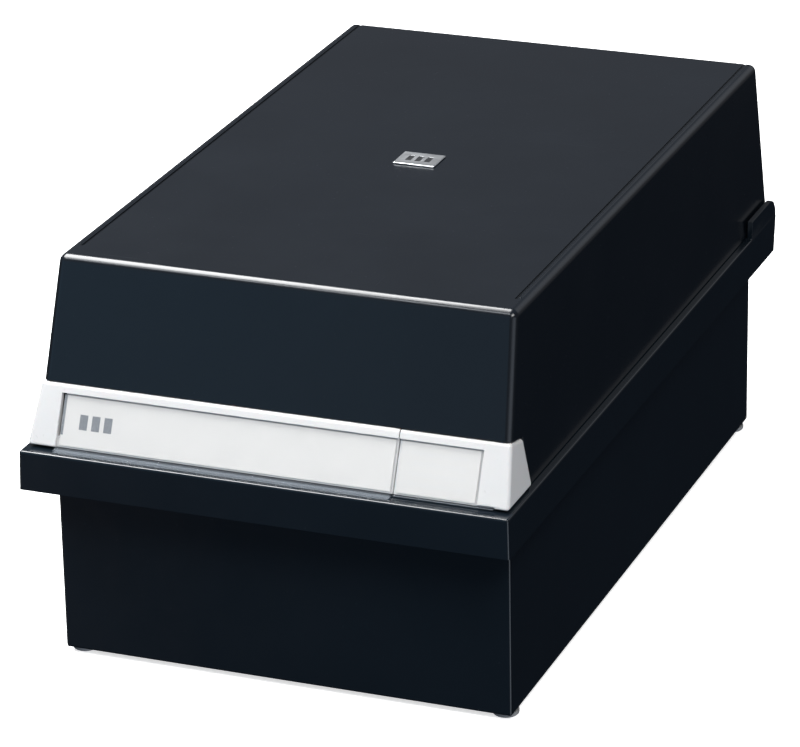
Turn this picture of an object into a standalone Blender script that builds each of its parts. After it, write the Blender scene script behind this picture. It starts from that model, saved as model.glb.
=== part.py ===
"""Card index box for A6 landscape cards.

A moulded tub with a wide rim, a tapered lid on a steel strip hinge, a white label band in two
mouldings on the lid's front, and a card support that slides on a rail in the tub's floor.

Frame: X across the box, -Y is the labelled front, +Z up, feet on z = 0. All sizes in metres.
"""
import math

import bmesh
import bpy
from mathutils import Matrix, Vector

# ------------------------------------------------------------------ driving dimensions
GAP = 0.0003                 # clearance between two pieces that touch
FINE_GAP = 0.0002            # clearance inside the thin label stack
WALL = 0.0022                # moulded wall thickness
MERGE = 0.00002              # merge distance of turned and welded meshes

WIDTH = 0.1806               # over the rim's lower edge
LENGTH = 0.3110              # over the rim, front to back
FRONT = -LENGTH / 2
REAR = LENGTH / 2

FOOT_HEIGHT = 0.0021
FOOT_RADIUS = 0.0047
FOOT_STEM_RADIUS = 0.0020
FOOT_EDGE = 0.0005           # chamfer of the feet's soles
FOOT_SIDE_INSET = 0.0046     # foot centre from the tub's side
FOOT_END_INSET = 0.0068      # foot centre from the tub's front or rear

TUB_BOTTOM = FOOT_HEIGHT
RIM_TOP = 0.0845
RIM_DEPTH = 0.0146           # height of the rim's skirt
RIM_BOTTOM = RIM_TOP - RIM_DEPTH
RIM_DRAFT = 0.0004           # the skirt leans in by this much at its top
RIM_REAR_FLARE = 0.0036      # the rear skirt leans out by this much at its top
EDGE = 0.0010                # rounding of the tub's and the rim's edges, under half a wall

TUB_HALF = 0.0841            # half the width of the tub's outside
TUB_FRONT = FRONT + 0.0179
TUB_REAR = REAR - 0.0165
LIP_HEIGHT = 0.0030          # dust lip of the tub above the rim, inside the lid

EAR_FRONT = REAR - 0.0325    # where the rim's sides step up beside the hinge
EAR_THICKNESS = 0.0019
EAR_HEIGHT = 0.0070
EAR_SHOULDER_DEPTH = 0.0080  # the shoulder falls away over this depth ...
EAR_SHOULDER_DROP = 0.0094   # ... and this height
EAR_REAR_INSET = 0.0002      # the ear's rear edge stands this far inside the rim's

LID_TOP = 0.1482
LID_BOTTOM = RIM_TOP + GAP
LID_HALF_LOW = 0.0872
LID_HALF_TOP = 0.0839
LID_FRONT_LOW = FRONT + 0.0083
LID_FRONT_TOP = FRONT + 0.0268
LID_REAR_LOW = REAR - 0.0031
LID_REAR_TOP = REAR - 0.0102
LID_EDGE = 0.0026            # rounding of the lid's outer edges
GROOVE_INSET = 0.0042        # groove centre from the side of the lid's top
GROOVE_WIDTH = 0.0010
GROOVE_DEPTH = 0.0007
GROOVE_FRONT = LID_FRONT_TOP + 0.0108

HINGE_Y = REAR - 0.0050
HINGE_Z = RIM_TOP + 0.0026
BARREL_RADIUS = 0.0023
BORE_RADIUS = 0.0014
PIN_RADIUS = 0.0011
PIN_END = 0.0006             # how far the pin stands out of the barrel at each end
LEAF = 0.0008                # thickness of the hinge leaves
HINGE_HALF = 0.0800
KNUCKLES = 9
KNUCKLE_GAP = 0.0004
LID_LEAF_HEIGHT = 0.0180
BASE_LEAF_FRONT = TUB_REAR + 0.0008
LID_NOTCH_HEIGHT = 0.0056    # the lid's rear edge clears the barrel by this height over the rim
LID_NOTCH_DEPTH = 0.0035

RIVET_RADIUS = 0.0015
RIVET_HEAD_RADIUS = 0.0028
RIVET_HEAD_HEIGHT = 0.0011
RIVET_TAIL_RADIUS = 0.0022
RIVET_TAIL_HEIGHT = 0.0009
LID_RIVET_RISE = 0.0108      # lid rivets above the hinge line
RIVET_X = (-0.0600, 0.0, 0.0600)

BAND_TOP = RIM_TOP + 0.0213
BAND_BOTTOM = RIM_TOP + 0.0008
SHORT_TOP_DROP = 0.0004      # the short moulding's top edge is this much lower
BAND_PROUD_TOP = 0.0005      # how far the band stands out from the lid at its top edge
BAND_PROUD_LOW = 0.0039
BAND_SEAM_X = 0.0466
BAND_SEAM = 0.0004
BAND_CHEEK_TOP = 0.0002      # how far the cheeks stand out from the lid's sides at the top
BAND_CHEEK_LOW = 0.0014
SEAT_DEPTH = 0.0011          # the lid's wall is set back by this much behind the band
CHEEK_DEPTH_TOP = 0.0110
CHEEK_DEPTH_LOW = 0.0235
CHEEK_TOP_DROP = 0.0022      # the band's top falls by this much towards the cheeks' rear
BAND_EDGE = 0.0012
PEG_RADIUS = 0.0018
PEG_RISE = 0.0005            # pegs above the middle of the band
LONG_PEGS_X = (-0.0700, -0.0170, 0.0360)
SHORT_PEGS_X = (0.0560, 0.0740)

WINDOW_THICKNESS = 0.0007
LABEL_THICKNESS = 0.00025
RECESS_DEPTH = WINDOW_THICKNESS + LABEL_THICKNESS + 2 * FINE_GAP
RECESS_TOP_INSET = 0.0029    # label recess below the band's top edge
RECESS_LEFT_X = -0.0780
RECESS_RIGHT_X = 0.0770
SLOT_WIDTH = 0.0010          # open slot at the left end of the long window
SLOT_LOW = BAND_BOTTOM + 0.0034
LIP_RIGHT_X = 0.0832         # the short window's lip runs on past the label recess
LIP_PROUD = 0.0028           # how far the long window's finger lip stands out from the face
LIP_TOP = BAND_BOTTOM + 0.0003
SHORT_LIP_HEIGHT = 0.0009
LABEL_INSET = 0.0008

BADGE_WIDTH = 0.0160
BADGE_DEPTH = 0.0125
BADGE_HEIGHT = 0.0005
BADGE_EDGE = 0.0002
BADGE_CENTRE_Y = FRONT + 0.1560

RAIL_STEM_HALF = 0.0025
RAIL_HEAD_HALF = 0.0055
RAIL_STEM_HEIGHT = 0.0028
RAIL_HEAD_HEIGHT = 0.0016
RAIL_END_INSET = 0.0060
RUNNER_X = 0.0520
RUNNER_HALF = 0.0012
RUNNER_HEIGHT = 0.0044

SUPPORT_Y = REAR - 0.0600    # centre of the shoe at rest
SHOE_HALF_WIDTH = 0.0110
SHOE_HALF_LENGTH = 0.0200
SHOE_TOP_THICKNESS = 0.0034
SHOE_CLEARANCE = 0.0004
SHOE_EDGE = 0.0006
SUPPORT_SHEET = 0.0012
SUPPORT_HALF_WIDTH = 0.0700
SUPPORT_HEIGHT = 0.0950
SUPPORT_LEAN = math.radians(8)
SUPPORT_FOOT_HALF = 0.0100
SUPPORT_FOOT_LENGTH = 0.0200
SUPPORT_CORNER = 0.0080
SUPPORT_BEND = 0.0002        # inner rounding where the sheet is bent
SUPPORT_SCREW_LENGTH = 0.0060
SUPPORT_SCREW_X = 0.0075
SUPPORT_SCREW_SHIFT = 0.0030 # screws behind the shoe's centre
SPRING_THICKNESS = 0.0004
SPRING_HALF_WIDTH = 0.0035
SPRING_HALF_LENGTH = 0.0120
SPRING_DROP = 0.0009         # rise of the spring's bowed ends
SPRING_STEPS = 8

OVERCUT = 0.0100             # how far cutters run past what they cut
ROUND = 20                   # sides of small round pieces

COLOURS = {                  # base colour, roughness, metallic
    "black_gloss": ((0.012, 0.015, 0.018), 0.22, 0.0),
    "black_satin": ((0.020, 0.021, 0.023), 0.45, 0.0),
    "white_plastic": ((0.82, 0.82, 0.80), 0.35, 0.0),
    "clear_plastic": ((0.90, 0.95, 0.98), 0.05, 0.0),
    "paper": ((0.86, 0.86, 0.84), 0.80, 0.0),
    "steel": ((0.55, 0.56, 0.58), 0.30, 1.0),
    "painted_steel": ((0.10, 0.11, 0.12), 0.45, 0.0),
    "badge_metal": ((0.45, 0.47, 0.50), 0.30, 1.0),
    "rubber": ((0.22, 0.22, 0.22), 0.75, 0.0),
}


# ------------------------------------------------------------------ scene and helpers
def clear_scene():
    for item in list(bpy.data.objects):
        bpy.data.objects.remove(item, do_unlink=True)


def new_collection(name):
    collection = bpy.data.collections.new(name)
    bpy.context.scene.collection.children.link(collection)
    return collection


def make_material(name):
    colour, roughness, metallic = COLOURS[name]
    material = bpy.data.materials.new(name)
    material.use_nodes = True
    shader = material.node_tree.nodes["Principled BSDF"]
    shader.inputs["Base Color"].default_value = (*colour, 1.0)
    shader.inputs["Roughness"].default_value = roughness
    shader.inputs["Metallic"].default_value = metallic
    return material


clear_scene()
PARTS = new_collection("card_index_box")
CUTTERS = new_collection("cutters")
MATERIALS = {name: make_material(name) for name in COLOURS}


def add_object(name, bm, material=None):
    """Wrap a bmesh in a part, or in a hidden cutter when it has no material."""
    mesh = bpy.data.meshes.new(name)
    bm.normal_update()
    bm.to_mesh(mesh)
    bm.free()
    item = bpy.data.objects.new(name, mesh)
    if material is None:
        CUTTERS.objects.link(item)
        item.hide_render = True
        item.display_type = "WIRE"
    else:
        PARTS.objects.link(item)
        mesh.materials.append(MATERIALS[material])
    return item


def box(name, low, high, material=None):
    bm = bmesh.new()
    bmesh.ops.create_cube(bm, size=1.0)
    low = Vector(low)
    high = Vector(high)
    for vert in bm.verts:
        vert.co = Vector(low[i] + (vert.co[i] + 0.5) * (high[i] - low[i]) for i in range(3))
    return add_object(name, bm, material)


def tapered_box(name, lower, upper, open_side=0, material=None):
    """A box between two level rectangles (half width, front y, rear y, z).

    open_side is 1 for no top face, -1 for no bottom face and 0 for a closed box.
    """
    bm = bmesh.new()
    bmesh.ops.create_cube(bm, size=2.0)
    for vert in bm.verts:
        half, front, rear, height = upper if vert.co.z > 0 else lower
        vert.co = Vector((math.copysign(half, vert.co.x), rear if vert.co.y > 0 else front, height))
    bm.normal_update()
    if open_side:
        lid = [face for face in bm.faces if face.normal.z * open_side > 0.9]
        bmesh.ops.delete(bm, geom=lid, context="FACES_ONLY")
    return add_object(name, bm, material)


def cylinder(name, start, end, radius, material=None, sides=ROUND):
    start = Vector(start)
    axis = Vector(end) - start
    bm = bmesh.new()
    bmesh.ops.create_cone(bm, cap_ends=True, segments=sides, radius1=radius, radius2=radius,
                          depth=axis.length)
    turn = axis.to_track_quat("Z", "Y").to_matrix().to_4x4()
    bmesh.ops.transform(bm, matrix=Matrix.Translation(start + axis / 2) @ turn, verts=bm.verts)
    return add_object(name, bm, material)


def outline(name, points, thickness, material=None):
    """A flat plate from a closed outline of (y, z) points, centred on x = 0."""
    curve = bpy.data.curves.new(name + "_outline", "CURVE")
    curve.dimensions = "2D"
    curve.fill_mode = "BOTH"
    curve.extrude = thickness / 2
    spline = curve.splines.new("POLY")
    spline.points.add(len(points) - 1)
    for point, (y, z) in zip(spline.points, points):
        point.co = (y, z, 0.0, 1.0)
    spline.use_cyclic_u = True
    holder = bpy.data.objects.new(name + "_outline", curve)
    bpy.context.scene.collection.objects.link(holder)
    bpy.context.view_layer.update()
    mesh = bpy.data.meshes.new_from_object(
        holder.evaluated_get(bpy.context.evaluated_depsgraph_get()))
    bpy.data.objects.remove(holder, do_unlink=True)
    bm = bmesh.new()
    bm.from_mesh(mesh)
    bpy.data.meshes.remove(mesh)
    bmesh.ops.remove_doubles(bm, verts=bm.verts, dist=MERGE)
    bmesh.ops.transform(bm, matrix=Matrix(((0, 0, 1, 0), (1, 0, 0, 0), (0, 1, 0, 0), (0, 0, 0, 1))),
                        verts=bm.verts)
    bmesh.ops.recalc_face_normals(bm, faces=bm.faces)
    return add_object(name, bm, material)


def turned(name, profile, material, steps=ROUND):
    """A solid turned about local Z from (radius, z) points that run from the top down."""
    bm = bmesh.new()
    verts = [bm.verts.new((radius, 0.0, z)) for radius, z in profile]
    for first, second in zip(verts, verts[1:]):
        bm.edges.new((first, second))
    item = add_object(name, bm, material)
    screw = item.modifiers.new("turn", "SCREW")
    screw.axis = "Z"
    screw.steps = steps
    screw.render_steps = steps
    screw.use_merge_vertices = True
    screw.merge_threshold = MERGE
    screw.use_smooth_shade = True
    return item


def boolean(item, other, operation="DIFFERENCE"):
    step = item.modifiers.new(other.name, "BOOLEAN")
    step.operation = operation
    step.solver = "EXACT"
    step.object = other
    return step


def bevel(item, width, segments=2, angle=30.0):
    step = item.modifiers.new("rounding", "BEVEL")
    step.width = width
    step.segments = segments
    step.limit_method = "ANGLE"
    step.angle_limit = math.radians(angle)
    step.use_clamp_overlap = True
    return step


def shell(item, thickness):
    step = item.modifiers.new("wall", "SOLIDIFY")
    step.thickness = thickness
    step.offset = -1.0
    step.use_even_offset = True
    return step


def set_origin(item, point):
    """Move an object's origin to a world point and leave its mesh where it is."""
    shift = Vector(point) - item.location
    item.data.transform(Matrix.Translation(-shift))
    item.location = point


def hang_on(parent, *items):
    for item in items:
        item.parent = parent
        item.matrix_parent_inverse = Matrix.Translation(-parent.location)


def empty(name, point):
    item = bpy.data.objects.new(name, None)
    PARTS.objects.link(item)
    item.location = point
    return item


def line_at(low, high, z):
    """Linear value at height z between low = (value, z) and high = (value, z)."""
    return low[0] + (high[0] - low[0]) * (z - low[1]) / (high[1] - low[1])


def lid_half(z):
    return line_at((LID_HALF_LOW, RIM_TOP), (LID_HALF_TOP, LID_TOP), z)


def lid_front(z):
    return line_at((LID_FRONT_LOW, RIM_TOP), (LID_FRONT_TOP, LID_TOP), z)


def lid_rear(z):
    return line_at((LID_REAR_LOW, RIM_TOP), (LID_REAR_TOP, LID_TOP), z)


def lid_section(z):
    return (lid_half(z), lid_front(z), lid_rear(z), z)


def band_face(z):
    """y of the band's front face."""
    proud = line_at((BAND_PROUD_LOW, BAND_BOTTOM), (BAND_PROUD_TOP, BAND_TOP), z)
    return lid_front(z) - proud


FRONT_TILT = math.atan2(LID_FRONT_TOP - LID_FRONT_LOW, LID_TOP - RIM_TOP)
REAR_TILT = math.atan2(LID_REAR_LOW - LID_REAR_TOP, LID_TOP - RIM_TOP)
BAND_TILT = math.atan2(band_face(BAND_TOP) - band_face(BAND_BOTTOM), BAND_TOP - BAND_BOTTOM)
FRONT_NORMAL = Vector((0.0, -math.cos(FRONT_TILT), math.sin(FRONT_TILT)))
REAR_NORMAL = Vector((0.0, math.cos(REAR_TILT), math.sin(REAR_TILT)))


# ------------------------------------------------------------------ fasteners
def fastener(name, point, normal, length, tail):
    """A dome-head fastener: its head sits on point, outside along normal.

    A rivet has a closed tail beyond its length, a screw ends flat.
    """
    profile = [(RIVET_HEAD_RADIUS * math.sin(math.radians(a)), RIVET_HEAD_HEIGHT * math.cos(math.radians(a)))
               for a in (0, 30, 60, 90)]
    profile += [(RIVET_RADIUS, 0.0), (RIVET_RADIUS, -length)]
    if tail:
        profile += [(RIVET_TAIL_RADIUS, -length), (RIVET_RADIUS, -length - RIVET_TAIL_HEIGHT)]
        length += RIVET_TAIL_HEIGHT
    profile.append((0.0, -length))
    item = turned(name, profile, "steel", steps=16)
    item.rotation_euler = Vector(normal).to_track_quat("Z", "Y").to_euler()
    item.location = point
    return item


def rivet(name, point, normal, grip):
    return fastener(name, point, normal, grip, tail=True)


def screw(name, point, normal, length):
    return fastener(name, point, normal, length, tail=False)


def rivet_hole(name, point, normal):
    reach = Vector(normal).normalized() * OVERCUT
    point = Vector(point)
    return cylinder(name, point + reach, point - reach, RIVET_RADIUS + GAP, sides=16)


# ------------------------------------------------------------------ tub
def foot_places():
    side = TUB_HALF - FOOT_SIDE_INSET
    for front, y in (("front", TUB_FRONT + FOOT_END_INSET), ("rear", TUB_REAR - FOOT_END_INSET)):
        for hand, x in (("left", -side), ("right", side)):
            yield f"foot_{front}_{hand}", x, y


def ear_outline():
    """Side view of the raised wall beside the hinge, with its rounded rear shoulder."""
    low = RIM_TOP - WALL / 2
    top = RIM_TOP + EAR_HEIGHT
    centre_y = REAR - EAR_REAR_INSET - EAR_SHOULDER_DEPTH
    centre_z = top - EAR_SHOULDER_DROP
    shoulder = [(centre_y + EAR_SHOULDER_DEPTH * math.cos(math.radians(a)),
                 centre_z + EAR_SHOULDER_DROP * math.sin(math.radians(a))) for a in range(15, 91, 15)]
    return [(EAR_FRONT, low), (REAR - WALL, low)] + shoulder + [(EAR_FRONT, top)]


def rim_section(z):
    """The rim's level outline at height z."""
    up = (z - RIM_BOTTOM) / RIM_DEPTH
    rear = REAR - RIM_REAR_FLARE * (1.0 - up)
    return (WIDTH / 2 - RIM_DRAFT * up, FRONT + RIM_DRAFT * up, rear, z)


def build_tub():
    lip_top = RIM_TOP + LIP_HEIGHT
    tub = tapered_box("base_tub",
                      (TUB_HALF, TUB_FRONT, TUB_REAR, TUB_BOTTOM),
                      (TUB_HALF, TUB_FRONT, TUB_REAR, lip_top), open_side=1, material="black_gloss")
    shell(tub, WALL)
    bevel(tub, EDGE, segments=2)

    rim = tapered_box("rim_flange", rim_section(RIM_BOTTOM - WALL), rim_section(RIM_TOP), open_side=-1)
    shell(rim, WALL)
    bevel(rim, EDGE, segments=2)
    skirt_edge = box("skirt_edge_cut", (-WIDTH, FRONT - OVERCUT, RIM_BOTTOM - OVERCUT),
                     (WIDTH, REAR + OVERCUT, RIM_BOTTOM))
    boolean(rim, skirt_edge)
    mid = WALL / 2
    mouth = box("rim_mouth_cut", (-TUB_HALF + mid, TUB_FRONT + mid, RIM_BOTTOM - OVERCUT),
                (TUB_HALF - mid, TUB_REAR - mid, RIM_TOP + OVERCUT))
    boolean(rim, mouth)
    boolean(tub, rim, "UNION")

    for hand, side in (("left", -1), ("right", 1)):
        ear = outline(f"ear_{hand}", ear_outline(), EAR_THICKNESS)
        ear.location.x = side * (WIDTH / 2 - RIM_DRAFT - FINE_GAP - EAR_THICKNESS / 2)
        boolean(tub, ear, "UNION")

    rear_lip = box("rear_lip_cut", (-TUB_HALF - FINE_GAP, TUB_REAR - 2 * WALL, RIM_TOP),
                   (TUB_HALF + FINE_GAP, BASE_LEAF_FRONT, lip_top + OVERCUT))
    boolean(tub, rear_lip)

    floor = TUB_BOTTOM + WALL
    ends = (TUB_FRONT + RAIL_END_INSET, TUB_REAR - RAIL_END_INSET)
    stem = box("rail_stem", (-RAIL_STEM_HALF, ends[0], floor - WALL / 2),
               (RAIL_STEM_HALF, ends[1], floor + RAIL_STEM_HEIGHT + RAIL_HEAD_HEIGHT / 2))
    head = box("rail_head", (-RAIL_HEAD_HALF, ends[0], floor + RAIL_STEM_HEIGHT),
               (RAIL_HEAD_HALF, ends[1], floor + RAIL_STEM_HEIGHT + RAIL_HEAD_HEIGHT))
    boolean(stem, head, "UNION")
    boolean(tub, stem, "UNION")
    for hand, side in (("left", -1), ("right", 1)):
        runner = box(f"runner_{hand}", (side * RUNNER_X - RUNNER_HALF, ends[0], floor - WALL / 2),
                     (side * RUNNER_X + RUNNER_HALF, ends[1], floor + RUNNER_HEIGHT))
        boolean(tub, runner, "UNION")

    for name, x, y in foot_places():
        hole = cylinder(name + "_hole", (x, y, TUB_BOTTOM - OVERCUT), (x, y, floor + WALL),
                        FOOT_STEM_RADIUS + GAP)
        boolean(tub, hole)
    for name, point, normal, _ in base_rivets():
        boolean(tub, rivet_hole(name + "_tub_hole", point, normal))
    return tub


def build_feet():
    top = TUB_BOTTOM - GAP
    profile = [(0.0, TUB_BOTTOM + WALL), (FOOT_STEM_RADIUS, TUB_BOTTOM + WALL), (FOOT_STEM_RADIUS, top),
               (FOOT_RADIUS, top), (FOOT_RADIUS, FOOT_EDGE), (FOOT_RADIUS - FOOT_EDGE, 0.0), (0.0, 0.0)]
    for name, x, y in foot_places():
        foot = turned(name, profile, "rubber")
        foot.location = (x, y, 0.0)


# ------------------------------------------------------------------ lid
def build_lid():
    lid = tapered_box("lid_shell", lid_section(LID_BOTTOM - OVERCUT), lid_section(LID_TOP), open_side=-1,
                      material="black_gloss")
    bevel(lid, LID_EDGE, segments=6, angle=40.0)
    shell(lid, WALL)
    edge = box("lid_edge_cut", (-WIDTH, FRONT - OVERCUT, LID_BOTTOM - 3 * OVERCUT),
               (WIDTH, REAR + OVERCUT, LID_BOTTOM))
    boolean(lid, edge)
    notch = box("lid_notch_cut", (-WIDTH, HINGE_Y - LID_NOTCH_DEPTH, LID_BOTTOM - 2 * OVERCUT),
                (WIDTH, REAR + OVERCUT, RIM_TOP + LID_NOTCH_HEIGHT))
    boolean(lid, notch)
    for hand, side in (("left", -1), ("right", 1)):
        centre = side * (LID_HALF_TOP - GROOVE_INSET)
        groove = box(f"groove_{hand}", (centre - GROOVE_WIDTH / 2, GROOVE_FRONT, LID_TOP - GROOVE_DEPTH),
                     (centre + GROOVE_WIDTH / 2, REAR, LID_TOP + OVERCUT))
        boolean(lid, groove)
    for name, point, normal, _ in lid_rivets():
        boolean(lid, rivet_hole(name + "_lid_hole", point, normal))
    boolean(lid, build_seat())
    for name, x in peg_places():
        centre = Vector((x, lid_front(peg_height()), peg_height()))
        reach = FRONT_NORMAL * WALL * 3
        boolean(lid, cylinder(name + "_hole", centre - reach, centre + reach, PEG_RADIUS + GAP, sides=16))
    return lid


def lid_core(name, grow):
    """The lid's outline set back by the band's seat, made larger by grow."""
    inset = SEAT_DEPTH - grow
    low, high = (lid_section(z) for z in (LID_BOTTOM - OVERCUT, BAND_TOP + OVERCUT))
    low, high = ((half - inset, front + inset / math.cos(FRONT_TILT), rear, z)
                 for half, front, rear, z in (low, high))
    core = tapered_box(name, low, high)
    bevel(core, LID_EDGE, segments=4, angle=40.0)
    return core


def build_seat():
    """What is cut from the lid's lower front so that the band sits in its walls."""
    seat = band_wedge("band_seat", OVERCUT, GAP)
    boolean(seat, lid_core("seat_core", 0.0))
    return seat


def build_badge():
    low = LID_TOP + GAP / 3
    badge = box("lid_badge", (-BADGE_WIDTH / 2, BADGE_CENTRE_Y - BADGE_DEPTH / 2, low),
                (BADGE_WIDTH / 2, BADGE_CENTRE_Y + BADGE_DEPTH / 2, low + BADGE_HEIGHT), "badge_metal")
    bevel(badge, BADGE_EDGE, segments=1)
    return badge


# ------------------------------------------------------------------ hinge
def knuckle_spans(first):
    """x ranges of every second knuckle, from index first."""
    pitch = 2 * HINGE_HALF / KNUCKLES
    for index in range(first, KNUCKLES, 2):
        start = -HINGE_HALF + index * pitch
        yield start + KNUCKLE_GAP / 2, start + pitch - KNUCKLE_GAP / 2


def add_knuckles(leaf, first):
    """Join every second knuckle to a leaf and clear the others' places and the bore."""
    for number, (start, end) in enumerate(knuckle_spans(first)):
        tube = cylinder(f"{leaf.name}_knuckle_{number}", (start, HINGE_Y, HINGE_Z), (end, HINGE_Y, HINGE_Z),
                        BARREL_RADIUS)
        boolean(leaf, tube, "UNION")
    for number, (start, end) in enumerate(knuckle_spans(1 - first)):
        space = cylinder(f"{leaf.name}_space_{number}", (start - KNUCKLE_GAP, HINGE_Y, HINGE_Z),
                         (end + KNUCKLE_GAP, HINGE_Y, HINGE_Z), BARREL_RADIUS + GAP)
        boolean(leaf, space)
    bore = cylinder(leaf.name + "_bore", (-HINGE_HALF - OVERCUT, HINGE_Y, HINGE_Z),
                    (HINGE_HALF + OVERCUT, HINGE_Y, HINGE_Z), BORE_RADIUS)
    boolean(leaf, bore)


def base_rivets():
    y = (BASE_LEAF_FRONT + HINGE_Y - BARREL_RADIUS) / 2
    z = RIM_TOP + GAP + LEAF + GAP
    for number, x in enumerate(RIVET_X, 1):
        yield f"base_rivet_{number}", Vector((x, y, z)), Vector((0.0, 0.0, 1.0)), LEAF + WALL + 3 * GAP


def lid_rivets():
    z = HINGE_Z + LID_RIVET_RISE
    for number, x in enumerate(RIVET_X, 1):
        point = Vector((x, lid_rear(z), z)) + REAR_NORMAL * GAP
        yield f"lid_rivet_{number}", point, REAR_NORMAL, LEAF + WALL + 3 * GAP


def build_base_leaf():
    low = RIM_TOP + GAP
    leaf = box("hinge_base_leaf", (-HINGE_HALF, BASE_LEAF_FRONT, low), (HINGE_HALF, HINGE_Y, low + LEAF),
               "steel")
    add_knuckles(leaf, 0)
    for name, point, normal, _ in base_rivets():
        boolean(leaf, rivet_hole(name + "_leaf_hole", point, normal))
    return leaf


def build_lid_leaf():
    """The leaf lies inside the lid's rear wall, leans with it and runs down to the barrel."""
    top = HINGE_Z + LID_LEAF_HEIGHT
    outer = WALL + GAP
    inner = outer + LEAF

    def edge(depth, z):
        return lid_rear(z) - depth / math.cos(REAR_TILT), z

    profile = [edge(outer, HINGE_Z), edge(outer, top), edge(inner, top), edge(inner, HINGE_Z)]
    leaf = outline("hinge_lid_leaf", profile, 2 * HINGE_HALF, "steel")
    add_knuckles(leaf, 1)
    for name, point, normal, _ in lid_rivets():
        boolean(leaf, rivet_hole(name + "_leaf_hole", point, normal))
    return leaf


def build_pin():
    reach = HINGE_HALF + PIN_END
    return cylinder("hinge_pin", (-reach, HINGE_Y, HINGE_Z), (reach, HINGE_Y, HINGE_Z), PIN_RADIUS, "steel")


# ------------------------------------------------------------------ label band
def peg_height():
    return (BAND_TOP + BAND_BOTTOM) / 2 + PEG_RISE


def peg_places():
    for number, x in enumerate(LONG_PEGS_X, 1):
        yield f"label_peg_{number}", x
    for number, x in enumerate(SHORT_PEGS_X, 1):
        yield f"end_peg_{number}", x


def band_half(z):
    cheek = line_at((BAND_CHEEK_LOW, BAND_BOTTOM), (BAND_CHEEK_TOP, BAND_TOP), z)
    return lid_half(z) + cheek


def cheek_rear(z):
    """y of the cheeks' rear edges."""
    low = (band_face(BAND_BOTTOM) + CHEEK_DEPTH_LOW, BAND_BOTTOM)
    high = (band_face(BAND_TOP) + CHEEK_DEPTH_TOP, BAND_TOP - CHEEK_TOP_DROP)
    return line_at(low, high, z)


def band_crown(y):
    """Height of the band's top, which falls towards the cheeks' rear."""
    front = band_face(BAND_TOP)
    return BAND_TOP - CHEEK_TOP_DROP * (y - front) / CHEEK_DEPTH_TOP


def band_wedge(name, out, slack, material=None):
    """The whole band before it is parted, a wedge round the lid's front and both front corners.

    The front, the sides and the underside are moved out by out, the top and the rear by slack.
    """
    bm = bmesh.new()
    bmesh.ops.create_cube(bm, size=2.0)
    for vert in bm.verts:
        rear = vert.co.y > 0
        z = BAND_BOTTOM - out
        if vert.co.z > 0:
            z = BAND_TOP - CHEEK_TOP_DROP if rear else BAND_TOP
        y = cheek_rear(z) + slack if rear else band_face(z) - out
        half = band_half(z) + out
        if vert.co.z > 0:
            z = band_crown(y) + slack
        vert.co = Vector((math.copysign(half, vert.co.x), y, z))
    return add_object(name, bm, material)


def build_holder(name, x_low, x_high, pegs):
    """One moulding of the band, with its locating pegs and its share of the label recess."""
    holder = band_wedge(name, 0.0, 0.0, "white_plastic")
    bevel(holder, BAND_EDGE, segments=3, angle=60.0)
    boolean(holder, lid_core(name + "_core", GAP))
    keep = box(name + "_keep", (x_low, FRONT - OVERCUT, BAND_BOTTOM - OVERCUT),
               (x_high, 0.0, BAND_TOP + OVERCUT))
    boolean(holder, keep, "INTERSECT")
    left = max(x_low - OVERCUT, RECESS_LEFT_X)
    right = min(x_high + OVERCUT, RECESS_RIGHT_X)
    boolean(holder, band_slab(name + "_recess", left, right, -RECESS_DEPTH, OVERCUT,
                              BAND_BOTTOM - OVERCUT, BAND_TOP - RECESS_TOP_INSET))
    for number, x in enumerate(pegs, 1):
        centre = Vector((x, lid_front(peg_height()), peg_height()))
        peg = cylinder(f"{name}_peg_{number}", centre - FRONT_NORMAL * SEAT_DEPTH / 2,
                       centre - FRONT_NORMAL * WALL, PEG_RADIUS, sides=16)
        boolean(holder, peg, "UNION")
    return holder


def build_long_holder(x_high):
    """The long moulding has a slot right through it, behind the slot of its window."""
    holder = build_holder("label_holder", -WIDTH, x_high, LONG_PEGS_X)
    slot = band_slab("label_slot", RECESS_LEFT_X, RECESS_LEFT_X + SLOT_WIDTH + GAP, -OVERCUT, OVERCUT,
                     SLOT_LOW, BAND_TOP - RECESS_TOP_INSET)
    boolean(holder, slot)
    return holder


def build_short_holder(x_low):
    """The short moulding is slightly lower and has a slot for the end of its window's lip."""
    holder = build_holder("end_holder", x_low, WIDTH, SHORT_PEGS_X)
    slot = band_slab("short_lip_slot", x_low, LIP_RIGHT_X, -RECESS_DEPTH, OVERCUT,
                     BAND_BOTTOM - OVERCUT, BAND_BOTTOM + SHORT_LIP_HEIGHT)
    boolean(holder, slot)
    crown = box("short_top_cut", (x_low - OVERCUT, FRONT - OVERCUT, BAND_TOP - SHORT_TOP_DROP),
                (WIDTH, 0.0, BAND_TOP + OVERCUT))
    boolean(holder, crown)
    return holder


def band_slab(name, x_low, x_high, back, front, z_low, z_high, material=None):
    """A slab parallel to the band's face, from back to front measured out from the face."""
    bm = bmesh.new()
    bmesh.ops.create_cube(bm, size=2.0)
    for vert in bm.verts:
        z = z_high if vert.co.z > 0 else z_low
        out = back if vert.co.y > 0 else front
        vert.co = Vector((x_high if vert.co.x > 0 else x_low, band_face(z) - out / math.cos(BAND_TILT), z))
    return add_object(name, bm, material)


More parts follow.
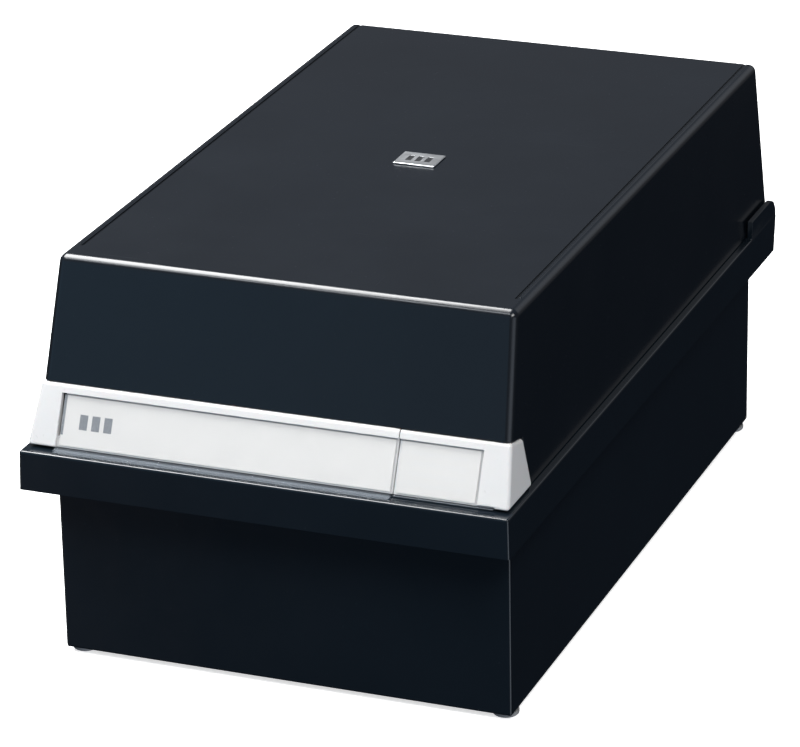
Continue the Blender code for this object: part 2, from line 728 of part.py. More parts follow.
def build_long_window(x_low, x_high):
    """A clear cover flush with the band, with a finger lip along its foot and a slot at its left."""
    top = BAND_TOP - RECESS_TOP_INSET - GAP
    window = band_slab("label_window_long", x_low, x_high, -WINDOW_THICKNESS, 0.0, BAND_BOTTOM, top,
                       "clear_plastic")
    face = band_face(BAND_BOTTOM)
    lip = box("long_lip", (x_low, face - LIP_PROUD, LID_BOTTOM), (x_high, face + WINDOW_THICKNESS, LIP_TOP))
    boolean(window, lip, "UNION")
    slot = band_slab("long_window_slot", x_low - OVERCUT, x_low + SLOT_WIDTH, -OVERCUT, OVERCUT,
                     SLOT_LOW, top + OVERCUT)
    boolean(window, slot)
    return window


def build_short_window(x_low, x_high):
    top = BAND_TOP - RECESS_TOP_INSET - GAP
    window = band_slab("label_window_short", x_low, x_high, -WINDOW_THICKNESS, 0.0,
                       BAND_BOTTOM + FINE_GAP, top, "clear_plastic")
    lip = band_slab("short_lip", x_low, LIP_RIGHT_X - GAP, -WINDOW_THICKNESS, FINE_GAP, BAND_BOTTOM,
                    BAND_BOTTOM + SHORT_LIP_HEIGHT - GAP)
    boolean(window, lip, "UNION")
    return window


def build_label(name, x_low, x_high):
    back = -RECESS_DEPTH + FINE_GAP
    return band_slab(name, x_low + LABEL_INSET, x_high - LABEL_INSET, back, back + LABEL_THICKNESS,
                     BAND_BOTTOM + LABEL_INSET, BAND_TOP - RECESS_TOP_INSET - LABEL_INSET, "paper")


def build_band():
    seam_left = BAND_SEAM_X - BAND_SEAM / 2
    seam_right = BAND_SEAM_X + BAND_SEAM / 2
    long_left = RECESS_LEFT_X + GAP
    short_right = RECESS_RIGHT_X - GAP
    return [
        build_long_holder(seam_left),
        build_short_holder(seam_right),
        build_long_window(long_left, seam_left - FINE_GAP),
        build_short_window(seam_right + FINE_GAP, short_right),
        build_label("label_card_long", long_left + SLOT_WIDTH, seam_left),
        build_label("label_card_short", seam_right, short_right),
    ]


# ------------------------------------------------------------------ card support
def build_shoe():
    """A sliding shoe whose two hooks reach under the rail's head."""
    floor = TUB_BOTTOM + WALL
    head_top = floor + RAIL_STEM_HEIGHT + RAIL_HEAD_HEIGHT
    low_y = SUPPORT_Y - SHOE_HALF_LENGTH
    high_y = SUPPORT_Y + SHOE_HALF_LENGTH
    shoe = box("support_shoe", (-SHOE_HALF_WIDTH, low_y, floor + SHOE_CLEARANCE),
               (SHOE_HALF_WIDTH, high_y, shoe_top()), "black_satin")
    bevel(shoe, SHOE_EDGE, segments=1)
    head_room = RAIL_HEAD_HALF + SHOE_CLEARANCE
    channel = box("shoe_channel", (-head_room, low_y - OVERCUT, floor + RAIL_STEM_HEIGHT - SHOE_CLEARANCE),
                  (head_room, high_y + OVERCUT, head_top + SHOE_CLEARANCE))
    stem_room = RAIL_STEM_HALF + SHOE_CLEARANCE
    slot = box("shoe_slot", (-stem_room, low_y - 2 * OVERCUT, floor - OVERCUT),
               (stem_room, high_y + 2 * OVERCUT, floor + RAIL_STEM_HEIGHT))
    pocket = box("spring_pocket", (-SPRING_HALF_WIDTH - GAP, SUPPORT_Y - SPRING_HALF_LENGTH - GAP,
                                   head_top - GAP),
                 (SPRING_HALF_WIDTH + GAP, SUPPORT_Y + SPRING_HALF_LENGTH + GAP,
                  head_top + SHOE_CLEARANCE + SPRING_DROP + SPRING_THICKNESS))
    for cutter in (channel, slot, pocket):
        boolean(shoe, cutter)
    for name, point, normal, _ in support_screws():
        boolean(shoe, rivet_hole(name + "_shoe_hole", point, normal))
    return shoe


def shoe_top():
    floor = TUB_BOTTOM + WALL
    return floor + RAIL_STEM_HEIGHT + RAIL_HEAD_HEIGHT + SHOE_CLEARANCE + SHOE_TOP_THICKNESS


def support_screws():
    z = shoe_top() + GAP + SUPPORT_SHEET + GAP
    for number, x in enumerate((-SUPPORT_SCREW_X, SUPPORT_SCREW_X), 1):
        yield (f"support_screw_{number}", Vector((x, SUPPORT_Y + SUPPORT_SCREW_SHIFT, z)),
               Vector((0.0, 0.0, 1.0)), SUPPORT_SCREW_LENGTH)


def build_support_plate():
    """Sheet steel, bent at its foot and leaning back, with rounded upper corners."""
    base = shoe_top() + GAP
    heel = SUPPORT_Y - SUPPORT_FOOT_LENGTH / 2
    rise = SUPPORT_HEIGHT
    lean = rise * math.tan(SUPPORT_LEAN)
    sheet = SUPPORT_SHEET / math.cos(SUPPORT_LEAN)
    plate = outline("support_plate", [
        (heel, base + SUPPORT_SHEET / 2), (heel + SUPPORT_SHEET / 2, base),
        (heel + SUPPORT_FOOT_LENGTH, base), (heel + SUPPORT_FOOT_LENGTH, base + SUPPORT_SHEET),
        (heel + sheet + SUPPORT_SHEET * math.tan(SUPPORT_LEAN) + SUPPORT_BEND, base + SUPPORT_SHEET),
        (heel + sheet + lean, base + rise), (heel + lean, base + rise)],
        2 * SUPPORT_HALF_WIDTH, "painted_steel")
    for hand, side in (("left", -1), ("right", 1)):
        beside = box(f"support_foot_{hand}_cut",
                     (min(side * SUPPORT_FOOT_HALF, side * WIDTH), heel + 2 * sheet, base - OVERCUT),
                     (max(side * SUPPORT_FOOT_HALF, side * WIDTH), heel + 3 * SUPPORT_FOOT_LENGTH,
                      base + 2 * SUPPORT_SHEET))
        boolean(plate, beside)
    frame = box("support_corner_frame", (-SUPPORT_HALF_WIDTH, SUPPORT_Y - WIDTH, base - OVERCUT),
                (SUPPORT_HALF_WIDTH, SUPPORT_Y + WIDTH, base + rise))
    corner = frame.modifiers.new("corners", "BEVEL")
    corner.width = SUPPORT_CORNER
    corner.segments = 4
    corner.limit_method = "WEIGHT"
    weights = frame.data.attributes.new("bevel_weight_edge", "FLOAT", "EDGE")
    for edge in frame.data.edges:
        ends = [frame.data.vertices[i].co for i in edge.vertices]
        if all(end.z > base for end in ends) and abs(ends[0].y - ends[1].y) > WIDTH:
            weights.data[edge.index].value = 1.0
    boolean(plate, frame, "INTERSECT")
    for name, point, normal, _ in support_screws():
        boolean(plate, rivet_hole(name + "_plate_hole", point, normal))
    return plate


def build_spring():
    """A bowed leaf that presses on the rail's head and holds the support by friction."""
    floor = TUB_BOTTOM + WALL
    low = floor + RAIL_STEM_HEIGHT + RAIL_HEAD_HEIGHT + GAP / 2
    upper = []
    lower = []
    for step in range(SPRING_STEPS + 1):
        along = -1.0 + 2.0 * step / SPRING_STEPS
        y = SUPPORT_Y + along * SPRING_HALF_LENGTH
        z = low + (SPRING_DROP - GAP / 2) * along * along
        lower.append((y, z))
        upper.append((y, z + SPRING_THICKNESS))
    return outline("friction_spring", lower + upper[::-1], 2 * SPRING_HALF_WIDTH, "steel")


# ------------------------------------------------------------------ assembly
def main():
    build_tub()
    build_feet()
    hinge = (0.0, HINGE_Y, HINGE_Z)
    build_base_leaf()
    build_pin()
    for name, point, normal, grip in base_rivets():
        rivet(name, point, normal, grip)

    lid_pieces = [build_lid(), build_badge(), build_lid_leaf(), *build_band()]
    for piece in lid_pieces:
        set_origin(piece, hinge)
    lid_pieces += [rivet(*details) for details in lid_rivets()]
    hang_on(empty("lid_axis", hinge), *lid_pieces)

    support = (0.0, SUPPORT_Y, shoe_top())
    support_pieces = [build_shoe(), build_support_plate(), build_spring()]
    for piece in support_pieces:
        set_origin(piece, support)
    support_pieces += [screw(*details) for details in support_screws()]
    hang_on(empty("support_carriage", support), *support_pieces)

    for piece in PARTS.objects:
        if piece.type == "MESH":
            piece.data.shade_smooth()
            piece.data.set_sharp_from_angle(angle=math.radians(35))


main()
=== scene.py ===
import math

import bmesh
import bpy
from mathutils import Matrix, Vector


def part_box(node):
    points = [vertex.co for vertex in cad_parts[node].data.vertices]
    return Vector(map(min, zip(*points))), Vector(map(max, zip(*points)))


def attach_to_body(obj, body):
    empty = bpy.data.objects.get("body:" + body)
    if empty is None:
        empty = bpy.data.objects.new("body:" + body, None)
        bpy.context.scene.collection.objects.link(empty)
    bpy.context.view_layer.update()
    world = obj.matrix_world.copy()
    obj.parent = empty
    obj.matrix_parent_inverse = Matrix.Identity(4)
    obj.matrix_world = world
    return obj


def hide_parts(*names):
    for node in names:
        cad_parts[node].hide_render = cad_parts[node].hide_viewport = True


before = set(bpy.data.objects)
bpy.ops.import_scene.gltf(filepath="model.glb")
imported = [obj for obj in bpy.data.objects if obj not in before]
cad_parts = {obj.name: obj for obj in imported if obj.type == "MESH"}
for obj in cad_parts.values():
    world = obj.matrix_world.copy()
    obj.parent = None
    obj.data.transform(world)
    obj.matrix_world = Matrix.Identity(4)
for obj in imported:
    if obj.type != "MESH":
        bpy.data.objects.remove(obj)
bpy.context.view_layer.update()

# ------------------------------------------------------------------ driving values
MERGE = 0.000002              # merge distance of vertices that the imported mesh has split
FLAT_ANGLE = math.radians(0.4)
SHARP_ANGLE = math.radians(32)
WEIGHT_OF_FLATS = 80          # how strongly the large faces set the shading of their edges

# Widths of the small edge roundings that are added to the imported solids.
MOULDED_EDGE = 0.00015
TRIM_EDGE = 0.00012
THIN_EDGE = 0.00010
SHEET_EDGE = 0.00008
SPRING_EDGE = 0.00005

# Colours are linear red, green and blue.
TUB_BLACK = (0.0048, 0.0082, 0.0124)
LID_BLACK = (0.0039, 0.0061, 0.0092)
SHOE_BLACK = (0.012, 0.012, 0.013)
PLASTIC_IOR = 1.45
BAND_WHITES = ((0.65, 0.643, 0.635), (0.63, 0.624, 0.616))
BAND_SPECK = (0.45, 0.44, 0.42)
COVER_TINT = (0.74, 0.82, 0.92)
COVER_LEAST = 0.004           # how much the clear covers hide when seen straight on ...
COVER_MOST = 0.12             # ... and at a glancing angle
PAPER_WHITES = ((0.670, 0.652, 0.625), (0.652, 0.636, 0.61))
# ink of the label's mark, also the colour of the painted slot shade on the long label
MARK_INK_AND_SLOT_SHADE = (0.075, 0.095, 0.12)
RULE_INK = (0.62, 0.64, 0.66)
STEEL = (0.62, 0.63, 0.65)
BADGE_METAL = (0.52, 0.54, 0.56)
METAL_STAIN = (0.30, 0.28, 0.25)
ENAMEL = (0.012, 0.013, 0.015)
COAT_GREYS = ((0.095, 0.10, 0.108), (0.075, 0.08, 0.088))
COAT_CHIP = (0.24, 0.24, 0.25)
RUBBER_GREYS = ((0.27, 0.27, 0.27), (0.19, 0.19, 0.19))

GROOVE_INSET = 0.0042         # groove centre from the side of the lid's top
BEAD_OUT = 0.0013             # bead beside the groove, measured outwards from it
BEAD_RADIUS = 0.0005
BEAD_SINK = 0.00028           # how deep the bead's axis lies under the lid's top
ROD_SEGMENTS = 16
ROD_RINGS = 10
CORNER_SEGMENTS = 4
LID_HALF_DRAFT = 0.0033       # the lid's sides lean in by this much at its top
GROOVE_FRONT_INSET = 0.0296   # the grooves start this far behind the lid's foremost edge ...
GROOVE_REAR_INSET = 0.0100    # ... and end this far ahead of its rearmost edge

PRINT_EDGE = 0.00008          # softness of printed and enamelled edges
SLOT_SHADE_WIDTH = 0.0012          # painted shade strip on the long label, seen through the cover's slot in place of the slot's shaded recess
SLOT_SHADE_LOW = 0.0034            # the painted slot shade starts this far above the label's foot
LABEL_PLAY = 0.0002           # the painted slot shade ends this far short of the label's white part
MARK_BAR = (0.0030, 0.0048)   # one bar of the label's mark
MARK_PITCH = 0.0046
MARK_INSET = 0.0055           # the mark starts this far from the label's left end
RULE_COUNT = 4
RULE_HALF = 0.00011           # half the thickness of a printed rule
RULE_INSET = 0.004

BADGE_BAR = (0.0022, 0.0054)  # one inlaid bar of the lid's badge
BADGE_PITCH = 0.0036
INLAY_DEPTH = 0.00012
INLAY_ROUNDING = 0.0004

CAMERA_PLACE = (0.5393, -1.38955, 0.6785)
CAMERA_AZIMUTH = 0.3758
CAMERA_ELEVATION = 0.3906
CAMERA_ROLL = -0.0187
CAMERA_LENS = 195.757
CAMERA_SENSOR = 36.0

FLOOR_SIZE = 14.0
FLOOR_TONE = (0.93, 0.93, 0.93)
FLOOR_GLOW = 0.66

# The studio's soft lights: name, place, what it points at, width and height, watts and colour.
LIGHTS = [
    ("key", (-0.50, 0.05, 1.15), (-0.05, -0.05, 0.1), (0.80, 0.48), 29.0, (1.0, 1.0, 1.0)),
    ("strip", (-0.42, -0.60, 1.10), (0.0, -0.15, 0.1), (0.60, 0.16), 3.0, (0.92, 0.96, 1.0)),
    ("front", (0.57, -0.86, 1.02), (0.0, -0.1, 0.08), (0.6, 0.45), 11.8, (1.0, 1.0, 0.99)),
]

# The studio's walls: dark below, grey above and brighter patches around it. A patch has a direction, the
# cosines of the angles where it begins and where it is full, and a colour. Later patches cover earlier ones.
WALL_LOW = (0.014, 0.018, 0.026)
WALL_HIGH = (0.145, 0.145, 0.155)
WALL_RISE = (-0.30, 0.0)
WALL_PATCHES = [
    ((-0.66, -0.66, -0.30), 0.93, 0.975, (0.42, 0.39, 0.42)),
    ((-0.62, -0.76, 0.15), 0.88, 0.985, (0.33, 0.54, 0.76)),
    ((-0.20, -0.90, -0.38), 0.95, 0.99, (0.06, 0.09, 0.13)),
    ((0.72, -0.58, -0.38), 0.76, 0.96, (1.9, 2.1, 2.4)),
    ((0.36, 0.83, 0.43), 0.92, 0.99, (0.50, 0.52, 0.56)),
]


# ------------------------------------------------------------------ node helpers
class Nodes:
    """Short way to add and join nodes of one material or world."""

    def __init__(self, tree):
        self.tree = tree

    def add(self, kind, inputs=None, **settings):
        """A new node with its settings, and its inputs given as sockets or as plain values."""
        node = self.tree.nodes.new("ShaderNode" + kind)
        for name, value in settings.items():
            setattr(node, name, value)
        for name, value in (inputs or {}).items():
            if isinstance(value, bpy.types.NodeSocket):
                self.tree.links.new(value, node.inputs[name])
            else:
                node.inputs[name].default_value = value
        return node

    def math(self, operation, first, second=0.0, third=0.0, clamp=False):
        node = self.add("Math", {0: first, 1: second, 2: third}, operation=operation, use_clamp=clamp)
        return node.outputs[0]

    def noise(self, vector, scale, detail=2.0, roughness=0.5):
        node = self.add("TexNoise", {"Vector": vector, "Scale": scale, "Detail": detail,
                                     "Roughness": roughness})
        return node.outputs["Fac"]

    def stretched(self, vector, factors):
        """The vector multiplied by one factor on each axis."""
        return self.add("VectorMath", {0: vector, 1: factors}, operation="MULTIPLY").outputs[0]

    def spread(self, value, low, high, out_low=0.0, out_high=1.0):
        """Map low..high to out_low..out_high, held at the ends."""
        node = self.add("MapRange", {"Value": value, "From Min": low, "From Max": high,
                                     "To Min": out_low, "To Max": out_high})
        return node.outputs["Result"]

    def blend(self, factor, first, second):
        """Mix two colours, each a socket or three numbers."""
        first, second = (colour if isinstance(colour, bpy.types.NodeSocket) else (*colour, 1.0)
                         for colour in (first, second))
        node = self.add("Mix", {0: factor, 6: first, 7: second}, data_type="RGBA")
        return node.outputs[2]

    def mottled(self, value, colours):
        """The first colour turning into the second where value goes from 0.3 to 0.7."""
        return self.blend(self.spread(value, 0.3, 0.7), *colours)

    def band(self, value, low, high, soft):
        """1 between low and high, 0 outside, with soft edges."""
        rise = self.spread(value, low - soft, low + soft)
        fall = self.spread(value, high - soft, high + soft, 1.0, 0.0)
        return self.math("MULTIPLY", rise, fall)

    def patches(self, point, second_axis, areas):
        """1 in the areas (x low, x high, low and high on the second axis), 0 outside."""
        split = self.add("SeparateXYZ", {0: point}).outputs
        mask = 0.0
        for x_low, x_high, low, high in areas:
            patch = self.math("MULTIPLY", self.band(split["X"], x_low, x_high, PRINT_EDGE),
                              self.band(split[second_axis], low, high, PRINT_EDGE))
            mask = self.math("MAXIMUM", mask, patch)
        return mask


def new_material(name):
    """A material with its Principled shader and a node helper."""
    material = bpy.data.materials.new(name)
    material.use_nodes = True
    return material, Nodes(material.node_tree), material.node_tree.nodes["Principled BSDF"]


def object_point(nodes):
    """The place on the piece, in its own axes."""
    return nodes.add("TexCoord").outputs["Object"]


def attach(nodes, shader, **sockets):
    """Join outputs to the shader's inputs of the same names."""
    for name, value in sockets.items():
        nodes.tree.links.new(value, shader.inputs[name.replace("_", " ")])


def bump(nodes, height, distance, normal=None):
    """A shading normal from a height in 0..1 that stands for distance, on top of another normal."""
    inputs = {"Height": height, "Distance": distance, "Strength": 1.0}
    if normal is not None:
        inputs["Normal"] = normal
    return nodes.add("Bump", inputs).outputs["Normal"]


# ------------------------------------------------------------------ materials
def black_plastic(name, colour, roughness, grain, smudge):
    """Glossy moulded polystyrene: faint flow waves, fine grain, handling smudges and hairline scratches."""
    material, nodes, shader = new_material(name)
    point = object_point(nodes)
    waves = nodes.noise(point, 38.0, 2.0)
    fine = nodes.noise(point, 2600.0, 2.0, 0.6)
    clouds = nodes.noise(point, 22.0, 4.0, 0.6)
    scratch_a = nodes.noise(nodes.stretched(point, (9.0, 900.0, 420.0)), 1.0, 3.0, 0.7)
    scratch_b = nodes.noise(nodes.stretched(point, (760.0, 14.0, 90.0)), 1.0, 3.0, 0.7)
    scratches = nodes.math("MAXIMUM", nodes.spread(scratch_a, 0.70, 0.76),
                           nodes.spread(scratch_b, 0.72, 0.78))
    dust = nodes.spread(nodes.noise(point, 1500.0, 0.0), 0.84, 0.90)
    gloss = nodes.spread(clouds, 0.35, 0.75, roughness, roughness + smudge)
    gloss = nodes.math("MULTIPLY_ADD", scratches, 0.10, gloss)
    gloss = nodes.math("MULTIPLY_ADD", dust, 0.12, gloss, clamp=True)
    light = tuple(2.4 * part + 0.010 for part in colour)
    speckled = nodes.blend(nodes.math("MULTIPLY", dust, 0.25), colour, light)
    worn = tuple(1.5 * part for part in colour)
    tone = nodes.blend(nodes.spread(clouds, 0.3, 0.8, 0.0, 0.35), speckled, worn)
    normal = bump(nodes, waves, 0.00012)
    normal = bump(nodes, fine, grain, normal=normal)
    normal = bump(nodes, scratches, 0.000006, normal=normal)
    shader.inputs["IOR"].default_value = PLASTIC_IOR
    attach(nodes, shader, Base_Color=tone, Roughness=gloss, Normal=normal)
    return material


def white_plastic():
    """The label band's satin white plastic with a few dust specks."""
    material, nodes, shader = new_material("white_plastic")
    point = object_point(nodes)
    clouds = nodes.noise(point, 30.0, 3.0)
    fine = nodes.noise(point, 1900.0, 2.0, 0.6)
    specks = nodes.spread(nodes.noise(point, 900.0, 0.0), 0.79, 0.85)
    tone = nodes.mottled(clouds, BAND_WHITES)
    tone = nodes.blend(nodes.math("MULTIPLY", specks, 0.35), tone, BAND_SPECK)
    gloss = nodes.spread(clouds, 0.3, 0.7, 0.28, 0.40)
    attach(nodes, shader, Base_Color=tone, Roughness=gloss, Normal=bump(nodes, fine, 0.000012))
    shader.inputs["Subsurface Weight"].default_value = 0.04
    shader.inputs["Subsurface Scale"].default_value = 0.002
    return material


def clear_plastic():
    """Nearly invisible clear covers that show more at a glancing angle."""
    material, nodes, shader = new_material("clear_plastic")
    point = object_point(nodes)
    waves = nodes.noise(point, 60.0, 2.0)
    hairlines = nodes.noise(nodes.stretched(point, (14.0, 500.0, 700.0)), 1.0, 3.0, 0.7)
    hairlines = nodes.spread(hairlines, 0.70, 0.78)
    gloss = nodes.math("MULTIPLY_ADD", hairlines, 0.12, 0.06)
    normal = bump(nodes, waves, 0.00002)
    rim = nodes.add("Fresnel", {"IOR": PLASTIC_IOR}).outputs[0]
    cover = nodes.math("MINIMUM", nodes.math("MULTIPLY_ADD", rim, 0.45, COVER_LEAST), COVER_MOST)
    cover = nodes.math("MULTIPLY_ADD", hairlines, 0.02, cover, clamp=True)
    shader.inputs["Base Color"].default_value = (*COVER_TINT, 1.0)
    attach(nodes, shader, Roughness=gloss, Normal=normal, Alpha=cover)
    return material


def paper_shader(name):
    """Label paper with fibres; returns what a label needs to print on it."""
    material, nodes, shader = new_material(name)
    point = object_point(nodes)
    fibres = nodes.noise(nodes.stretched(point, (500.0, 2200.0, 1700.0)), 1.0, 4.0, 0.65)
    clouds = nodes.noise(point, 120.0, 3.0)
    tone = nodes.mottled(clouds, PAPER_WHITES)
    shader.inputs["Roughness"].default_value = 0.8
    attach(nodes, shader, Normal=bump(nodes, fibres, 0.00003))
    return material, nodes, shader, point, tone


def printed_paper(name, patches, patch_colour, strength):
    """Label paper with patches (x low, x high, z low, z high) laid on in one colour: print, and on the long
    label also a painted slot shade.
    """
    material, nodes, shader, point, tone = paper_shader(name)
    mask = nodes.patches(point, "Z", patches)
    grainy = nodes.spread(nodes.noise(point, 3000.0, 2.0), 0.25, 0.6, 0.75, 1.0)
    cover = nodes.math("MULTIPLY", nodes.math("MULTIPLY", mask, strength), grainy)
    attach(nodes, shader, Base_Color=nodes.blend(cover, tone, patch_colour))
    return material


def metal(name, colour, low, high, brush, inlays=()):
    """Brushed or plated metal with dark enamel inlays; brush is how the grain is drawn out on each axis."""
    material, nodes, shader = new_material(name)
    point = object_point(nodes)
    grain = nodes.noise(nodes.stretched(point, brush), 1.0, 4.0, 0.7)
    clouds = nodes.noise(point, 90.0, 3.0)
    stain = nodes.spread(nodes.noise(point, 260.0, 3.0, 0.7), 0.55, 0.75)
    tone = nodes.mottled(grain, (colour, tuple(0.82 * part for part in colour)))
    tone = nodes.blend(nodes.math("MULTIPLY", stain, 0.25), tone, METAL_STAIN)
    gloss = nodes.math("ADD", nodes.spread(grain, 0.3, 0.7, low, high),
                       nodes.spread(clouds, 0.4, 0.8, 0.0, 0.12))
    if inlays:
        enamel = nodes.patches(point, "Y", inlays)
        tone = nodes.blend(enamel, tone, ENAMEL)
        attach(nodes, shader, Metallic=nodes.math("SUBTRACT", 1.0, enamel))
    else:
        shader.inputs["Metallic"].default_value = 1.0
    attach(nodes, shader, Base_Color=tone, Roughness=gloss, Normal=bump(nodes, grain, 0.000010))
    return material


def powder_coat():
    """Grey orange-peel paint with small chips."""
    material, nodes, shader = new_material("powder_coat")
    point = object_point(nodes)
    orange = nodes.noise(point, 1300.0, 2.0)
    clouds = nodes.noise(point, 35.0, 3.0)
    chips = nodes.spread(nodes.noise(point, 420.0, 4.0, 0.7), 0.74, 0.78)
    tone = nodes.mottled(clouds, COAT_GREYS)
    tone = nodes.blend(nodes.math("MULTIPLY", chips, 0.5), tone, COAT_CHIP)
    attach(nodes, shader, Base_Color=tone, Roughness=nodes.spread(clouds, 0.3, 0.7, 0.38, 0.5),
           Normal=bump(nodes, orange, 0.00004))
    return material


def rubber():
    """Dull grey rubber of the feet."""
    material, nodes, shader = new_material("rubber")
    point = object_point(nodes)
    fine = nodes.noise(point, 1800.0, 3.0, 0.7)
    clouds = nodes.noise(point, 240.0, 3.0)
    tone = nodes.mottled(clouds, RUBBER_GREYS)
    attach(nodes, shader, Base_Color=tone, Roughness=nodes.spread(clouds, 0.3, 0.7, 0.65, 0.85),
           Normal=bump(nodes, fine, 0.00006))
    return material


# ------------------------------------------------------------------ mesh helpers
def finish_piece(item, material, body):
    """Smooth a piece, give it its material and hang it on its body."""
    item.data.materials.clear()
    item.data.materials.append(material)
    item.data.shade_smooth()
    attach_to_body(item, body)


def link(item):
    """Put an object into the scene."""
    bpy.context.scene.collection.objects.link(item)
    return item


def soften(item, width):
    """Round what is left sharp and level the shading of the flat faces."""
    if width > 0.0:
        step = item.modifiers.new("soft_edges", "BEVEL")
        step.width = width
        step.segments = 2
        step.limit_method = "ANGLE"
        step.angle_limit = SHARP_ANGLE
        step.use_clamp_overlap = False
        step.miter_outer = "MITER_ARC"
    level = item.modifiers.new("level", "WEIGHTED_NORMAL")
    level.mode = "FACE_AREA"
    level.weight = WEIGHT_OF_FLATS


def refined(name, node, width, material, body, added=(), removed=()):
    """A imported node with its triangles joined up, its details added and its sharp edges rounded."""
    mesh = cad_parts[node].data.copy()
    bm = bmesh.new()
    bm.from_mesh(mesh)
    bmesh.ops.remove_doubles(bm, verts=bm.verts, dist=MERGE)
    bmesh.ops.dissolve_limit(bm, angle_limit=FLAT_ANGLE, verts=bm.verts, edges=bm.edges,
                             use_dissolve_boundaries=False)
    bmesh.ops.recalc_face_normals(bm, faces=bm.faces)
    bm.to_mesh(mesh)
    bm.free()
    if "custom_normal" in mesh.attributes:
        mesh.attributes.remove(mesh.attributes["custom_normal"])
    if added:
        mesh = combined(mesh, added, "UNION")
    if removed:
        mesh = combined(mesh, removed, "DIFFERENCE")
    item = link(bpy.data.objects.new(name, mesh))
    finish_piece(item, material, body)
    soften(item, width)
    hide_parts(node)


def from_bmesh(name, bm):
    """A new mesh of that name made of bm, which is used up."""
    mesh = bpy.data.meshes.new(name)
    bm.to_mesh(mesh)
    bm.free()
    return mesh


def rod(start, end, radius):
    """A long round rod with ball ends."""
    axis = Vector(end) - Vector(start)
    bm = bmesh.new()
    bmesh.ops.create_uvsphere(bm, u_segments=ROD_SEGMENTS, v_segments=ROD_RINGS, radius=radius)
    for vert in bm.verts:
        vert.co.z += math.copysign(axis.length / 2, vert.co.z) if abs(vert.co.z) > MERGE else 0.0
    turn = axis.to_track_quat("Z", "Y").to_matrix().to_4x4()
    bmesh.ops.transform(bm, matrix=Matrix.Translation(Vector(start) + axis / 2) @ turn, verts=bm.verts)
    return from_bmesh("rod", bm)


def combined(mesh, others, operation):
    """The mesh with the others joined to it or cut out of it."""
    item = link(bpy.data.objects.new("first", mesh))
    helpers = [item]
    for other in others:
        helper = link(bpy.data.objects.new("other", other))
        helpers.append(helper)
        step = item.modifiers.new("combine", "BOOLEAN")
        step.operation = operation
        step.solver = "EXACT"
        step.object = helper
    bpy.context.view_layer.update()
    result = bpy.data.meshes.new_from_object(item.evaluated_get(bpy.context.evaluated_depsgraph_get()))
    for helper in helpers:
        bpy.data.objects.remove(helper)
    return result


def slab(low, high, rounding):
    """A block with its upright edges rounded."""
    bm = bmesh.new()
    bmesh.ops.create_cube(bm, size=1.0)
    size = Vector(high) - Vector(low)
    for vert in bm.verts:
        vert.co = Vector(low) + Vector((size[axis] * (vert.co[axis] + 0.5) for axis in range(3)))
    upright = [edge for edge in bm.edges
               if abs(edge.verts[0].co.z - edge.verts[1].co.z) > size.z / 2]
    bmesh.ops.bevel(bm, geom=upright, offset=rounding, segments=CORNER_SEGMENTS, affect="EDGES", profile=0.5)
    return from_bmesh("slab", bm)


# ------------------------------------------------------------------ pieces
def build_badge():
    """A brushed plate with three dark enamel bars let into it."""
    low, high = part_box("lid_badge")
    middle = (low + high) / 2
    width, depth = BADGE_BAR
    centres = [middle.x + step * BADGE_PITCH for step in (-1, 0, 1)]
    bars = [(centre - width / 2, centre + width / 2, middle.y - depth / 2, middle.y + depth / 2)
            for centre in centres]
    cuts = [slab((x_low, y_low, high.z - INLAY_DEPTH), (x_high, y_high, high.z + INLAY_DEPTH), INLAY_ROUNDING)
            for x_low, x_high, y_low, y_high in bars]
    brushed = metal("badge_metal", BADGE_METAL, 0.34, 0.46, (90.0, 2600.0, 2600.0), bars)
    refined("plate_badge", "lid_badge", THIN_EDGE, brushed, "lid", removed=cuts)


def widened_card(left):
    """A copy of the long label drawn out to the left, under the cover's slot, where it carries the painted
    slot shade.
    """
    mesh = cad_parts["label_card_long"].data.copy()
    for vert in mesh.vertices:
        vert.co.x = left - SLOT_SHADE_WIDTH if vert.co.x < left + LABEL_PLAY else left + MARK_INSET / 2
    return mesh


def build_labels():
    """The long card carries a plain mark of three bars and a painted shade strip under the cover's slot, the
    short one ruled lines.
    """
    low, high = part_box("label_card_long")
    middle = (low.z + high.z) / 2
    width, height = MARK_BAR
    starts = [low.x + MARK_INSET + MARK_PITCH * step for step in range(3)]
    bars = [(start, start + width, middle - height / 2, middle + height / 2) for start in starts]
    # painted shade under the cover's slot, standing in for its shaded recess, in the mark's ink
    strip = [(low.x - SLOT_SHADE_WIDTH, low.x - LABEL_PLAY, low.z + SLOT_SHADE_LOW, high.z)]
    paper = printed_paper("label_paper_long_and_slot_shade", bars + strip, MARK_INK_AND_SLOT_SHADE, 0.86)
    refined("label_long", "label_card_long", 0.0, paper, "lid", added=[widened_card(low.x)])
    low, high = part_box("label_card_short")
    heights = [low.z + (high.z - low.z) * (step + 1) / (RULE_COUNT + 1) for step in range(RULE_COUNT)]
    rules = [(low.x + RULE_INSET, high.x - RULE_INSET, height - RULE_HALF, height + RULE_HALF)
             for height in heights]
    paper = printed_paper("label_paper_short", rules, RULE_INK, 0.55)
    refined("label_short", "label_card_short", 0.0, paper, "lid")


